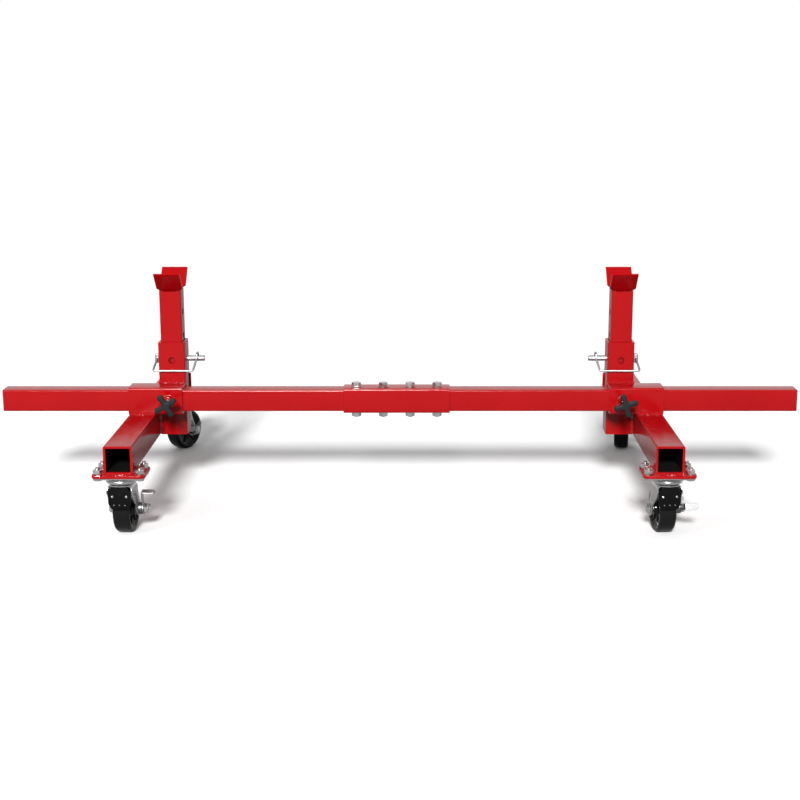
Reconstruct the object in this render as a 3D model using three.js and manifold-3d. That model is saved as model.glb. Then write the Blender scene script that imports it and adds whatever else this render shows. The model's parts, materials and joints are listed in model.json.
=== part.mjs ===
// Engine stand: one long square bar, joined at the middle by a bolted sleeve, carries two rolling
// cradles. Each cradle slides along the bar on a square sleeve and is held by a star-knob clamp
// screw. It stands on a cross leg with two braked swivel casters, and a post with a flared saddle
// on top telescopes in its socket and is held at one of four heights by a bail lock pin.
// Millimetres, +Z up, X along the bar, -Y the side with the clamp knobs. The origin is on the
// floor, in the middle of the stand's footprint.

import * as THREE from 'three';
import { mergeVertices } from 'three/addons/utils/BufferGeometryUtils.js';
import Module from 'manifold-3d';

const wasm = await Module();
wasm.setup();

// ---------- driving dimensions ----------

const GAP = 0.3; // left between two pieces that touch or are welded
const HEX = 2 / Math.sqrt(3); // corner radius of a hexagon over half its width across flats

const BAR = { length: 1829, size: 50, wall: 3, centreZ: 235, seamX: -8 };
const JOINER = { length: 245, size: 57, wall: 3, boltPitch: 62.3 };
const JOINER_BOLT = { diameter: 12, hole: 12.8, flats: 19, headHeight: 8, nutHeight: 10 };
const JOINER_WASHER = { diameter: 24, thickness: 2.2 };

const SLEEVE = { size: 62, wall: 5 };
const LEG = { frontY: -393, rearY: 415, size: 62, wall: 5, leftX: -594, rightX: 576 };
const SOCKET = { size: 62, wall: 5, topZ: 361, crossHole: 15 };
const GUSSET = { thickness: 5, innerLap: 3, peakZ: 277, peakX: 24, shoulderZ: 266, footX: 74 };

const POST = { size: 50, wall: 3, bottomZ: 253, topZ: 481.5, holePitch: 55, slotWidth: 15 };
const POST_STEPS = { up: 1, down: 2 }; // hole pitches that the post can rise and sink
const SADDLE = { width: 60, plate: 4.5, baseHalf: 24, tipReach: 65, rise: 41, chamfer: 4 };

const PIN = { diameter: 13, z: 318.5, outerReach: 12.8, innerReach: 42 };
const PIN_HEAD = { width: 11, height: 23, thickness: 9 }; // a flattened, upright eye
const BAIL = { wire: 5, eye: 5.8, forward: 34.5, drop: 24, span: 94, skew: 7, hookRise: 12.5, tail: 9 };

const BOSS = { flats: 24, length: 14 };
const SCREW = { diameter: 12, hole: 12.8, length: 56 };
const KNOB = { radius: 28, lobeWidth: 14, thickness: 12, hub: 22, hubLength: 17, forward: 49 };
const KNOB_TURN = { left: 31.5, right: 18 }; // degrees, of the first lobe at rest

const MOUNT_PLATE = { x: 114, y: 86, thickness: 6, corner: 12, pastLeg: 12 };
const CASTER_PLATE = { x: 110, y: 78, thickness: 3.5, corner: 8 };
const CASTER_BOLT = { x: 45, y: 26, diameter: 10, hole: 11.4, flats: 17, head: 4, nut: 10, top: 20 };
const RACE = { radius: 29, bottomZ: 122 };
const SWIVEL_CUP = { outer: 33, inner: 29.6, bottomZ: 117.5, topZ: 128.5, floor: 4 };
const FORK = { outerWidth: 57, wall: 3, crownTopZ: 117, crownThickness: 4, crownRadius: 32 };
const WHEEL = { radius: 51, width: 38, hubWidth: 50, hubRadius: 16, trail: 30 };
const AXLE = { diameter: 12, hole: 12.8, flats: 19, head: 7, nut: 7 };
const BRAKE = { hub: 26, thickness: 11, plate: 2.5, armWidth: 15 };
const BRAKE_TABS = { long: { reach: 43, lean: 18, out: 32 }, short: { reach: 27, top: 3, out: 12.5 } };
const BRAKE_TURN = { leftFront: 0, rightFront: 54, leftRear: 54, rightRear: 54 }; // degrees
const CASTER_YAW = { leftFront: -3, rightFront: 6.5, leftRear: -31, rightRear: -9 }; // degrees

// ---------- places worked out from them ----------

const BAR_HALF = BAR.size / 2;
const BAR_Y = -(SOCKET.size / 2 + GAP + SLEEVE.size / 2);
const LEG_TOP_Z = BAR.centreZ - SLEEVE.size / 2 - GAP;
const LEG_BOTTOM_Z = LEG_TOP_Z - LEG.size;
const POST_FROM_LEG = LEG.size / 2 + GAP + SOCKET.size / 2;
const SLEEVE_LENGTH = LEG.size + GAP + SOCKET.size;
const MOUNT_PLATE_TOP_Z = LEG_BOTTOM_Z - GAP;
const CASTER_PLATE_TOP_Z = MOUNT_PLATE_TOP_Z - MOUNT_PLATE.thickness - GAP;
const CASTER_PAST_LEG = MOUNT_PLATE.pastLeg - MOUNT_PLATE.y / 2;
const AXLE_Z = WHEEL.radius;

// ---------- finishes ----------

const redPaint = { color: 0xc8141c, roughness: 0.32, metalness: 0.0 };
const zinc = { color: 0xc4c6c8, roughness: 0.3, metalness: 0.9 };
const blackPlastic = { color: 0x1c1f21, roughness: 0.6, metalness: 0.0 };
const blackWheel = { color: 0x0d0d0e, roughness: 0.22, metalness: 0.0 };

// ---------- solids ----------

function toSolid(geometry) {
  const bare = geometry.clone();
  bare.deleteAttribute('normal');
  bare.deleteAttribute('uv');
  const welded = mergeVertices(bare, 1e-4);
  const triVerts = [];
  for (let i = 0; i < welded.index.count; i += 3) {
    const [a, b, c] = [0, 1, 2].map((k) => welded.index.getX(i + k));
    if (a !== b && b !== c && c !== a) triVerts.push(a, b, c);
  }
  return new wasm.Manifold(new wasm.Mesh({
    numProp: 3,
    vertProperties: new Float32Array(welded.attributes.position.array),
    triVerts: new Uint32Array(triVerts),
  }));
}

function toGeometry(solid) {
  const mesh = solid.getMesh();
  const geometry = new THREE.BufferGeometry();
  geometry.setAttribute('position', new THREE.BufferAttribute(new Float32Array(mesh.vertProperties), 3));
  geometry.setIndex(new THREE.BufferAttribute(new Uint32Array(mesh.triVerts), 1));
  return geometry;
}

function join(first, ...others) {
  return toGeometry(others.reduce((solid, next) => solid.add(toSolid(next)), toSolid(first)));
}

function cut(first, ...others) {
  return toGeometry(others.reduce((solid, next) => solid.subtract(toSolid(next)), toSolid(first)));
}

function common(first, second) {
  return toGeometry(toSolid(first).intersect(toSolid(second)));
}

function at(geometry, x, y, z) {
  return geometry.translate(x, y, z);
}

// A shape made in XY and pushed along +Z, turned so that the push lies along the named axis.
function along(geometry, axis) {
  if (axis === 'x') return geometry.rotateX(Math.PI / 2).rotateZ(Math.PI / 2);
  if (axis === 'y') return geometry.rotateX(Math.PI / 2).rotateZ(Math.PI);
  return geometry;
}

function block(x, y, z) {
  return new THREE.BoxGeometry(x, y, z);
}

function rod(diameter, length, axis, sides = 12) {
  const geometry = new THREE.CylinderGeometry(diameter / 2, diameter / 2, length, sides);
  if (axis === 'x') return geometry.rotateZ(-Math.PI / 2);
  if (axis === 'z') return geometry.rotateX(Math.PI / 2);
  return geometry;
}

function hexRod(flats, length, axis) {
  return rod(flats * HEX, length, axis, 6);
}

function turned(profile, sides = 24) {
  const points = profile.map(([radius, z]) => new THREE.Vector2(radius, z));
  return new THREE.LatheGeometry(points, sides).rotateX(Math.PI / 2);
}

function roundedRectangle(path, width, height, radius) {
  const [x, y] = [width / 2 - radius, height / 2 - radius];
  path.absarc(x, y, radius, 0, Math.PI / 2);
  path.absarc(-x, y, radius, Math.PI / 2, Math.PI);
  path.absarc(-x, -y, radius, Math.PI, 1.5 * Math.PI);
  path.absarc(x, -y, radius, 1.5 * Math.PI, 2 * Math.PI);
  path.closePath();
  return path;
}

function pushed(shape, depth, curveSegments = 1) {
  const geometry = new THREE.ExtrudeGeometry(shape, { depth, bevelEnabled: false, curveSegments });
  return geometry.translate(0, 0, -depth / 2);
}

function squareTube(size, wall, length, axis) {
  const shape = roundedRectangle(new THREE.Shape(), size, size, wall);
  const inner = size - 2 * wall;
  shape.holes.push(roundedRectangle(new THREE.Path(), inner, inner, 1));
  return along(pushed(shape, length), axis);
}

function roundedPlate(x, y, thickness, corner) {
  return pushed(roundedRectangle(new THREE.Shape(), x, y, corner), thickness);
}

function polygon(points) {
  return new THREE.Shape(points.map(([x, y]) => new THREE.Vector2(x, y)));
}

const stand = new THREE.Group();

function addPart(parent, name, geometry, finish) {
  const mesh = new THREE.Mesh(geometry, new THREE.MeshStandardMaterial(finish));
  mesh.name = name;
  parent.add(mesh);
  return mesh;
}

// ---------- bar and joiner ----------

const joinerBoltX = [-1.5, -0.5, 0.5, 1.5].map((step) => BAR.seamX + step * JOINER.boltPitch);

function boltHoles(centreX) {
  return joinerBoltX.map((x) => at(rod(JOINER_BOLT.hole, 2 * JOINER.size, 'z'), x - centreX, 0, 0));
}

function addBar() {
  const ends = { left: -BAR.length / 2, right: BAR.length / 2 };
  for (const [side, end] of Object.entries(ends)) {
    const seam = BAR.seamX + Math.sign(end) * GAP;
    const centreX = (end + seam) / 2;
    const tube = squareTube(BAR.size, BAR.wall, Math.abs(end - seam), 'x');
    const bar = addPart(stand, `bar_${side}`, cut(tube, ...boltHoles(centreX)), redPaint);
    bar.position.set(centreX, BAR_Y, BAR.centreZ);
  }
  const joiner = squareTube(JOINER.size, JOINER.wall, JOINER.length, 'x');
  const sleeve = addPart(stand, 'joiner_sleeve', cut(joiner, ...boltHoles(BAR.seamX)), redPaint);
  sleeve.position.set(BAR.seamX, BAR_Y, BAR.centreZ);
}

function joinerBolt() {
  const { diameter, thickness } = JOINER_WASHER;
  const faceZ = JOINER.size / 2 + GAP;
  const shankTop = faceZ + thickness;
  const shankBottom = -(faceZ + thickness + JOINER_BOLT.nutHeight + 2);
  const shank = rod(JOINER_BOLT.diameter, shankTop - shankBottom, 'z');
  const head = hexRod(JOINER_BOLT.flats, JOINER_BOLT.headHeight, 'z');
  return join(
    at(shank, 0, 0, (shankTop + shankBottom) / 2),
    at(rod(diameter, thickness, 'z'), 0, 0, faceZ + thickness / 2),
    at(head, 0, 0, shankTop + JOINER_BOLT.headHeight / 2),
  );
}

function joinerNut() {
  const { diameter, thickness } = JOINER_WASHER;
  const bodyZ = -thickness - JOINER_BOLT.nutHeight / 2;
  const solid = join(
    at(rod(diameter, thickness, 'z'), 0, 0, -thickness / 2),
    at(hexRod(JOINER_BOLT.flats, JOINER_BOLT.nutHeight, 'z'), 0, 0, bodyZ),
  );
  return cut(solid, rod(JOINER_BOLT.hole, 60, 'z'));
}

function addJoinerBolts() {
  joinerBoltX.forEach((x, i) => {
    const bolt = addPart(stand, `joiner_bolt_${i + 1}`, joinerBolt(), zinc);
    bolt.position.set(x, BAR_Y, BAR.centreZ);
    const nut = addPart(stand, `joiner_nut_${i + 1}`, joinerNut(), zinc);
    nut.position.set(x, BAR_Y, BAR.centreZ - JOINER.size / 2 - GAP);
  });
}

// ---------- cradle: sleeve, leg, socket ----------

// In each cradle's own group X points away from the bar's middle and 0 is the post's centre line.
function slideSleeve(outward) {
  const faceY = -SLEEVE.size / 2;
  const centreX = outward * (SLEEVE_LENGTH - SOCKET.size) / 2;
  const bossRoot = 1; // how far the boss reaches into the wall
  const bossY = faceY - (BOSS.length - bossRoot) / 2;
  const tube = at(squareTube(SLEEVE.size, SLEEVE.wall, SLEEVE_LENGTH, 'x'), centreX, 0, 0);
  const boss = at(hexRod(BOSS.flats, BOSS.length + bossRoot, 'y'), 0, bossY, 0);
  const hole = at(rod(SCREW.hole, 2 * (BOSS.length + SLEEVE.wall), 'y'), 0, faceY - SLEEVE.wall, 0);
  return cut(join(tube, boss), hole);
}

function postSocket() {
  const height = SOCKET.topZ - LEG_BOTTOM_Z;
  const centreZ = (SOCKET.topZ + LEG_BOTTOM_Z) / 2;
  const tube = at(squareTube(SOCKET.size, SOCKET.wall, height, 'z'), 0, 0, centreZ);
  const holes = ['x', 'y'].map((axis) => at(rod(SOCKET.crossHole, 2 * SOCKET.size, axis), 0, 0, PIN.z));
  return cut(tube, ...holes);
}

function gussetPlate(outward) {
  const half = SOCKET.size / 2;
  const outline = polygon([
    [-half - GUSSET.innerLap, LEG_TOP_Z + GAP],
    [GUSSET.footX, LEG_TOP_Z + GAP],
    [half, GUSSET.shoulderZ],
    [GUSSET.peakX, GUSSET.peakZ],
    [-half - GUSSET.innerLap, GUSSET.peakZ],
  ]);
  const plate = pushed(outline, GUSSET.thickness).rotateX(Math.PI / 2);
  if (outward < 0) plate.rotateZ(Math.PI);
  return at(plate, 0, half + GAP + GUSSET.thickness / 2, 0);
}

// The slot in each side wall covers the four hole places, one pitch apart, so that the post can
// travel past the pin.
function heightPost() {
  const height = POST.topZ - POST.bottomZ;
  const tube = at(squareTube(POST.size, POST.wall, height, 'z'), 0, 0, POST.bottomZ + height / 2);
  const low = PIN.z - POST_STEPS.up * POST.holePitch;
  const high = PIN.z + POST_STEPS.down * POST.holePitch;
  const ends = [low, high].map((z) => at(rod(POST.slotWidth, 2 * POST.size, 'x'), 0, 0, z));
  const middle = at(block(2 * POST.size, POST.slotWidth, high - low), 0, 0, (low + high) / 2);
  return cut(tube, join(middle, ...ends));
}

function saddle() {
  const { plate, baseHalf, tipReach, rise, chamfer, width } = SADDLE;
  const lean = Math.atan2(tipReach - baseHalf, rise);
  const [thickY, thickZ] = [plate * Math.cos(lean), plate * Math.sin(lean)];
  const innerBase = baseHalf - plate * Math.tan((Math.PI / 2 - lean) / 2);
  const outline = polygon([
    [-baseHalf, 0], [baseHalf, 0],
    [tipReach, rise], [tipReach - thickY, rise + thickZ],
    [innerBase, plate], [-innerBase, plate],
    [-tipReach + thickY, rise + thickZ], [-tipReach, rise],
  ]);
  const folded = pushed(outline, width).rotateX(Math.PI / 2).rotateZ(Math.PI / 2);
  const [half, neck, top] = [width / 2, POST.size / 2, rise + plate];
  const front = polygon([
    [-neck, -1], [neck, -1], [neck, 1], [half, chamfer],
    [half, top], [-half, top], [-half, chamfer], [-neck, 1],
  ]);
  return at(common(folded, pushed(front, 4 * tipReach).rotateX(Math.PI / 2)), 0, 0, POST.topZ + GAP);
}

// ---------- lock pin and its bail ----------

function lockPin(outward) {
  const { width, height, thickness } = PIN_HEAD;
  const eyeX = pinEyeX();
  const innerEnd = -(SOCKET.size / 2 + PIN.innerReach);
  const shaft = rod(PIN.diameter, eyeX - innerEnd, 'x');
  const outline = roundedRectangle(new THREE.Shape(), width, height, width / 2 - 0.1);
  const head = pushed(outline, thickness, 3).rotateX(Math.PI / 2);
  const solid = join(
    at(shaft, outward * (eyeX + innerEnd) / 2, 0, 0),
    at(head, outward * eyeX, 0, 0),
  );
  return cut(solid, at(rod(BAIL.eye, 40, 'y'), outward * eyeX, 0, 0));
}

function pinEyeX() {
  return SOCKET.size / 2 + PIN.outerReach - PIN_HEAD.width / 2;
}

// From the eye in the pin's head the wire runs forward, down and a little outward, across the
// front of the socket, and back up into a hook that drops over the pin's inner end.
function pinBail(outward) {
  const x0 = outward * pinEyeX();
  const x1 = x0 - outward * BAIL.span;
  const low0 = x0 + outward * BAIL.skew;
  const low1 = x1 + outward * BAIL.skew;
  const hook = PIN.diameter / 2 + BAIL.wire / 2 + 1.5;
  const points = [
    [x0, BAIL.tail + 1, 0],
    [x0, 0, 0],
    [x0, -BAIL.tail, 0],
    [x0, -BAIL.tail - 5, -2.5],
    [low0 - outward * 0.7, -BAIL.forward + 2.5, -BAIL.drop + 4],
    [low0 - outward, -BAIL.forward, -BAIL.drop],
    [low0 - outward * 5, -BAIL.forward, -BAIL.drop],
    [(low0 + low1) / 2, -BAIL.forward, -BAIL.drop],
    [low1 + outward * 5, -BAIL.forward, -BAIL.drop],
    [low1 + outward, -BAIL.forward, -BAIL.drop],
    [low1 - outward * 0.7, -BAIL.forward + 3, -BAIL.drop + 3.5],
    [x1, -hook - 3, 1],
    [x1, -hook + 1, BAIL.hookRise - 2],
    [x1, 0, BAIL.hookRise + 1],
    [x1, hook - 1, BAIL.hookRise - 3],
    [x1, hook, 2],
    [x1, hook + 1, -9],
  ];
  const corners = points.map((point) => new THREE.Vector3(...point));
  const path = new THREE.CatmullRomCurve3(corners, false, 'centripetal');
  const section = new THREE.Shape().absarc(0, 0, BAIL.wire / 2, 0, 2 * Math.PI);
  return new THREE.ExtrudeGeometry(section, { steps: 40, curveSegments: 3, extrudePath: path });
}

// ---------- clamp screw and knob ----------

function clampScrew() {
  const tipY = -BAR_HALF - GAP;
  return at(rod(SCREW.diameter, SCREW.length, 'y'), 0, tipY - SCREW.length / 2, 0);
}

function starKnob(firstLobe) {
  const { radius, lobeWidth } = KNOB;
  const bar = roundedRectangle(new THREE.Shape(), 2 * radius, lobeWidth, lobeWidth / 2 - 0.1);
  const lobes = [0, 90].map((turn) => {
    const angle = THREE.MathUtils.degToRad(turn + firstLobe);
    return pushed(bar, KNOB.thickness, 2).rotateX(Math.PI / 2).rotateY(-angle);
  });
  const knobY = -SLEEVE.size / 2 - KNOB.forward;
  const hubY = (KNOB.hubLength - KNOB.thickness) / 2;
  const solid = join(lobes[0], lobes[1], at(rod(KNOB.hub, KNOB.hubLength, 'y'), 0, hubY, 0));
  const screwEnd = -BAR_HALF - GAP - SCREW.length;
  const bore = rod(SCREW.hole, 40, 'y');
  return cut(at(solid, 0, knobY, 0), at(bore, 0, screwEnd - GAP + 20, 0));
}

// ---------- caster mounting ----------

function boltPlaces() {
  const places = [];
  for (const x of [-CASTER_BOLT.x, CASTER_BOLT.x]) {
    for (const y of [-CASTER_BOLT.y, CASTER_BOLT.y]) places.push([x, y]);
  }
  return places;
}

function mountPlate() {
  const { x, y, thickness, corner } = MOUNT_PLATE;
  const holes = boltPlaces().map(([u, v]) => at(rod(CASTER_BOLT.hole, 40, 'z', 8), u, v, 0));
  return cut(roundedPlate(x, y, thickness, corner), ...holes);
}

// The zinc top plate with the fixed race under it and the four bolts that hold it, nuts on top.
function casterPlate() {
  const { x, y, thickness, corner } = CASTER_PLATE;
  const plate = at(roundedPlate(x, y, thickness, corner), 0, 0, -thickness / 2);
  const raceDepth = CASTER_PLATE_TOP_Z - RACE.bottomZ;
  const race = at(rod(2 * RACE.radius, raceDepth, 'z', 20), 0, 0, -raceDepth / 2);
  const nutBase = GAP + MOUNT_PLATE.thickness + GAP;
  const bolts = boltPlaces().flatMap(([u, v]) => [
    at(rod(CASTER_BOLT.diameter, CASTER_BOLT.top + thickness, 'z', 8), u, v, CASTER_BOLT.top / 2),
    at(hexRod(CASTER_BOLT.flats, CASTER_BOLT.nut, 'z'), u, v, nutBase + CASTER_BOLT.nut / 2),
    at(hexRod(CASTER_BOLT.flats, CASTER_BOLT.head, 'z'), u, v, -thickness - CASTER_BOLT.head / 2 + 0.2),
  ]);
  return join(plate, race, ...bolts);
}

// ---------- caster below the plate, in its own turned group, wheel trailing towards +Y ----------

function swivelRing() {
  const { outer, inner, bottomZ, topZ, floor } = SWIVEL_CUP;
  return turned([
    [0, bottomZ + GAP], [outer, bottomZ + GAP], [outer, topZ], [inner, topZ],
    [inner, bottomZ + floor], [0, bottomZ + floor],
  ]);
}

function forkLeg(side) {
  const { outerWidth, wall, crownTopZ, crownRadius } = FORK;
  const shape = new THREE.Shape();
  shape.moveTo(-crownRadius * 0.8, crownTopZ);
  shape.lineTo(-crownRadius * 0.8, crownTopZ - 16);
  shape.lineTo(WHEEL.trail - 15, AXLE_Z - 4);
  shape.absarc(WHEEL.trail, AXLE_Z, 15.5, 1.08 * Math.PI, 2 * Math.PI);
  shape.lineTo(WHEEL.trail + 13, AXLE_Z + 26);
  shape.lineTo(crownRadius * 0.9, crownTopZ - 10);
  shape.lineTo(crownRadius * 0.9, crownTopZ);
  const plate = pushed(shape, wall, 4).rotateX(Math.PI / 2).rotateZ(Math.PI / 2);
  return at(plate, side * (outerWidth - wall) / 2, 0, 0);
}

function fork() {
  const { crownTopZ, crownThickness, crownRadius } = FORK;
  const crown = at(rod(2 * crownRadius, crownThickness, 'z', 24), 0, 0, crownTopZ - crownThickness / 2);
  const axleHole = at(rod(AXLE.hole, 2 * FORK.outerWidth, 'x'), 0, WHEEL.trail, AXLE_Z);
  return cut(join(crown, forkLeg(-1), forkLeg(1)), axleHole);
}

function wheel() {
  const { radius, width, hubWidth, hubRadius } = WHEEL;
  const [half, hub, bore] = [width / 2, hubWidth / 2, AXLE.hole / 2];
  const shoulder = 5;
  const rim = radius - 13;
  const web = half - 5;
  const profile = [
    [bore, -hub], [hubRadius, -hub], [hubRadius, -web], [rim, -web], [rim + 2, -half],
    [radius - shoulder, -half], [radius, -half + shoulder], [radius, half - shoulder],
    [radius - shoulder, half],
    [rim + 2, half], [rim, web], [hubRadius, web], [hubRadius, hub], [bore, hub], [bore, -hub],
  ];
  return turned(profile).rotateY(Math.PI / 2);
}

function axleBolt() {
  const forkHalf = FORK.outerWidth / 2 + GAP;
  const nutStart = forkHalf + BRAKE.thickness + 2 * GAP;
  const shankStart = -forkHalf - AXLE.head;
  const shankEnd = nutStart + AXLE.nut + 2;
  return join(
    at(rod(AXLE.diameter, shankEnd - shankStart, 'x'), (shankStart + shankEnd) / 2, 0, 0),
    at(hexRod(AXLE.flats, AXLE.head, 'x'), -forkHalf - AXLE.head / 2, 0, 0),
    at(hexRod(AXLE.flats, AXLE.nut, 'x'), nutStart + AXLE.nut / 2, 0, 0),
  );
}

// A rocker beside the fork: one arm rises from the hub on the axle to a long tab bent outwards, the
// other runs back to a short tab.
function brakeLever(turn) {
  const { hub, thickness, plate, armWidth } = BRAKE;
  const { long, short } = BRAKE_TABS;
  const hubX = FORK.outerWidth / 2 + GAP + thickness / 2;
  const armX = hubX + (thickness - plate) / 2;
  const footX = (out) => armX + (out - plate) / 2;
  const lean = THREE.MathUtils.degToRad(long.lean);
  const rising = join(
    at(block(plate, armWidth, long.reach), armX, 0, long.reach / 2),
    at(block(long.out, armWidth, plate), footX(long.out), 0, long.reach),
  ).rotateX(lean);
  const shortY = short.reach - armWidth / 2;
  const lever = join(
    at(rod(hub, thickness, 'x'), hubX, 0, 0),
    rising,
    at(block(plate, short.reach, armWidth), armX, short.reach / 2, short.top - armWidth / 2),
    at(block(short.out, armWidth, plate), footX(short.out), shortY, short.top - plate / 2),
  );
  return cut(lever, rod(AXLE.hole, 80, 'x')).rotateX(THREE.MathUtils.degToRad(turn));
}

function addCaster(side, end, x, y) {
  const name = `${side}_${end}`;
  const plate = addPart(stand, `${name}_mount_plate`, mountPlate(), redPaint);
  plate.position.set(x, y, MOUNT_PLATE_TOP_Z - MOUNT_PLATE.thickness / 2);
  const top = addPart(stand, `${name}_caster_plate`, casterPlate(), zinc);
  top.position.set(x, y, CASTER_PLATE_TOP_Z);

  const corner = side + end[0].toUpperCase() + end.slice(1);
  const swivel = new THREE.Group();
  swivel.position.set(x, y, 0);
  swivel.rotation.z = THREE.MathUtils.degToRad(CASTER_YAW[corner]);
  stand.add(swivel);
  addPart(swivel, `${name}_swivel_ring`, swivelRing(), zinc);
  addPart(swivel, `${name}_fork`, fork(), zinc);
  const onAxle = [
    addPart(swivel, `${name}_wheel`, wheel(), blackWheel),
    addPart(swivel, `${name}_axle_bolt`, axleBolt(), zinc),
    addPart(swivel, `${name}_brake_lever`, brakeLever(BRAKE_TURN[corner]), zinc),
  ];
  for (const piece of onAxle) piece.position.set(0, WHEEL.trail, AXLE_Z);
}

// ---------- one cradle ----------

function addCradle(side, legX) {
  const outward = Math.sign(legX);
  const postX = legX - outward * POST_FROM_LEG;
  const cradle = new THREE.Group();
  cradle.position.x = postX;
  stand.add(cradle);

  const sleeve = addPart(cradle, `${side}_slide_sleeve`, slideSleeve(outward), redPaint);
  sleeve.position.set(0, BAR_Y, BAR.centreZ);
  const legTube = squareTube(LEG.size, LEG.wall, LEG.rearY - LEG.frontY, 'y');
  const leg = addPart(cradle, `${side}_leg_tube`, legTube, redPaint);
  leg.position.set(legX - postX, (LEG.frontY + LEG.rearY) / 2, LEG_TOP_Z - LEG.size / 2);
  addPart(cradle, `${side}_post_socket`, postSocket(), redPaint);
  addPart(cradle, `${side}_gusset_plate`, gussetPlate(outward), redPaint);

  const onClamp = [
    addPart(cradle, `${side}_clamp_screw`, clampScrew(), zinc),
    addPart(cradle, `${side}_star_knob`, starKnob(KNOB_TURN[side]), blackPlastic),
  ];
  for (const piece of onClamp) piece.position.set(0, BAR_Y, BAR.centreZ);

  addPart(cradle, `${side}_height_post`, heightPost(), redPaint);
  addPart(cradle, `${side}_saddle`, saddle(), redPaint);
  addPart(cradle, `${side}_lock_pin`, lockPin(outward), zinc).position.z = PIN.z;
  addPart(cradle, `${side}_pin_bail`, pinBail(outward), zinc).position.z = PIN.z;

  addCaster(side, 'front', legX, LEG.frontY - CASTER_PAST_LEG);
  addCaster(side, 'rear', legX, LEG.rearY + CASTER_PAST_LEG);
}

addBar();
addJoinerBolts();
addCradle('left', LEG.leftX);
addCradle('right', LEG.rightX);

// The wheels trail behind the rear end of the legs, so the footprint's middle is behind the posts.
stand.updateMatrixWorld(true);
const footprint = new THREE.Box3().setFromObject(stand, true);
stand.position.y = -(footprint.min.y + footprint.max.y) / 2;

export default stand;
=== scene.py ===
"""Looks of the engine stand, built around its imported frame. Lengths are in millimetres unless a name says
otherwise; add_piece turns them into metres."""

import json
import math
import random

import bmesh
import bpy
from mathutils import Matrix, Vector


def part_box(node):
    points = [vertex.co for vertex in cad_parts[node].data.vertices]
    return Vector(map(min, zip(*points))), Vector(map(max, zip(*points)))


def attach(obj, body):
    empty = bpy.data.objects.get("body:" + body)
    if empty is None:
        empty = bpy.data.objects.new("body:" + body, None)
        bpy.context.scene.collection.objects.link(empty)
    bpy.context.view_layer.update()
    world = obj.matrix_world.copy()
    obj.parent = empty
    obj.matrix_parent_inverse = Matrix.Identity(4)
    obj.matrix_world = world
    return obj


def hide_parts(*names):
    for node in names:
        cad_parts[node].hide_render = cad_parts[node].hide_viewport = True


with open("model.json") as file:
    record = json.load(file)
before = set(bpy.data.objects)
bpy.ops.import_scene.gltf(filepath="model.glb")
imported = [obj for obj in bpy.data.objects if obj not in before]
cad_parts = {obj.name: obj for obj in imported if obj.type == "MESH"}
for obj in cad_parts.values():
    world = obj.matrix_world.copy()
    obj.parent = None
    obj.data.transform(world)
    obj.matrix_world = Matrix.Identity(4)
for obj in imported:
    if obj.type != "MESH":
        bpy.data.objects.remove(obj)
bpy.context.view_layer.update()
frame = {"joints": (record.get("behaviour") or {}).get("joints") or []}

MM = 0.001
JOINTS = {joint["name"]: joint for joint in frame["joints"]}
SIDES = ("left", "right")
ENDS = ("front", "rear")
UP = Vector((0, 0, 1))


# ---------------------------------------------------------------- places taken from the frame

def box_of(node):
    low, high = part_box(node)
    return low / MM, high / MM


def middle_of(node):
    low, high = box_of(node)
    return (low + high) / 2


def joint_point(name):
    return Vector(JOINTS[name]["pos_m"]) / MM


# ---------------------------------------------------------------- shapes: (vertices, faces)

def skin(rings, closed=False):
    """Quads between rings of equal length. Closed joins the last ring to the first, else both get a cap."""
    count = len(rings[0])
    verts = [Vector(p) for ring in rings for p in ring]
    faces = []
    for r in range(len(rings) if closed else len(rings) - 1):
        a, b = r * count, (r + 1) % len(rings) * count
        for i in range(count):
            j = (i + 1) % count
            faces.append((a + i, a + j, b + j, b + i))
    if not closed:
        faces.append(tuple(range(count)))
        faces.append(tuple(range((len(rings) - 1) * count, len(rings) * count)))
    return verts, faces


def moved(shape, offset=(0, 0, 0), turn=None):
    shift = Vector(offset)
    verts = [(turn @ p if turn else Vector(p)) + shift for p in shape[0]]
    return verts, shape[1]


def merged(shapes):
    verts, faces = [], []
    for shape in shapes:
        start = len(verts)
        verts += shape[0]
        faces += [tuple(start + i for i in face) for face in shape[1]]
    return verts, faces


def arc(centre, radius, start, end, steps):
    """Points on a flat arc, with the angles in degrees."""
    angles = [math.radians(start + (end - start) * i / steps) for i in range(steps + 1)]
    return [(centre[0] + radius * math.cos(a), centre[1] + radius * math.sin(a)) for a in angles]


def round_rectangle(width, height, radius, steps=5):
    x, y = width / 2 - radius, height / 2 - radius
    corners = [(x, y, 0), (-x, y, 90), (-x, -y, 180), (x, -y, 270)]
    return [p for cx, cy, start in corners for p in arc((cx, cy), radius, start, start + 90, steps)]


def rounded_outline(corners):
    """A closed outline from (x, y, radius) corners, each turned into an arc."""
    points, steps = [], 6
    for i, (x, y, radius) in enumerate(corners):
        here = Vector((x, y))
        before = (Vector(corners[i - 1][:2]) - here).normalized()
        after = (Vector(corners[(i + 1) % len(corners)][:2]) - here).normalized()
        half = before.angle(after) / 2
        centre = here + (before + after).normalized() * (radius / math.sin(half))
        first = here + before * (radius / math.tan(half)) - centre
        last = here + after * (radius / math.tan(half)) - centre
        a0, a1 = math.atan2(first.y, first.x), math.atan2(last.y, last.x)
        sweep_angle = (a1 - a0 + math.pi) % (2 * math.pi) - math.pi
        for k in range(steps + 1):
            a = a0 + sweep_angle * k / steps
            points.append((centre.x + radius * math.cos(a), centre.y + radius * math.sin(a)))
    return points


def area_of(points):
    pairs = zip(points, points[1:] + points[:1])
    return sum(a[0] * b[1] - b[0] * a[1] for a, b in pairs) / 2


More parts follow.
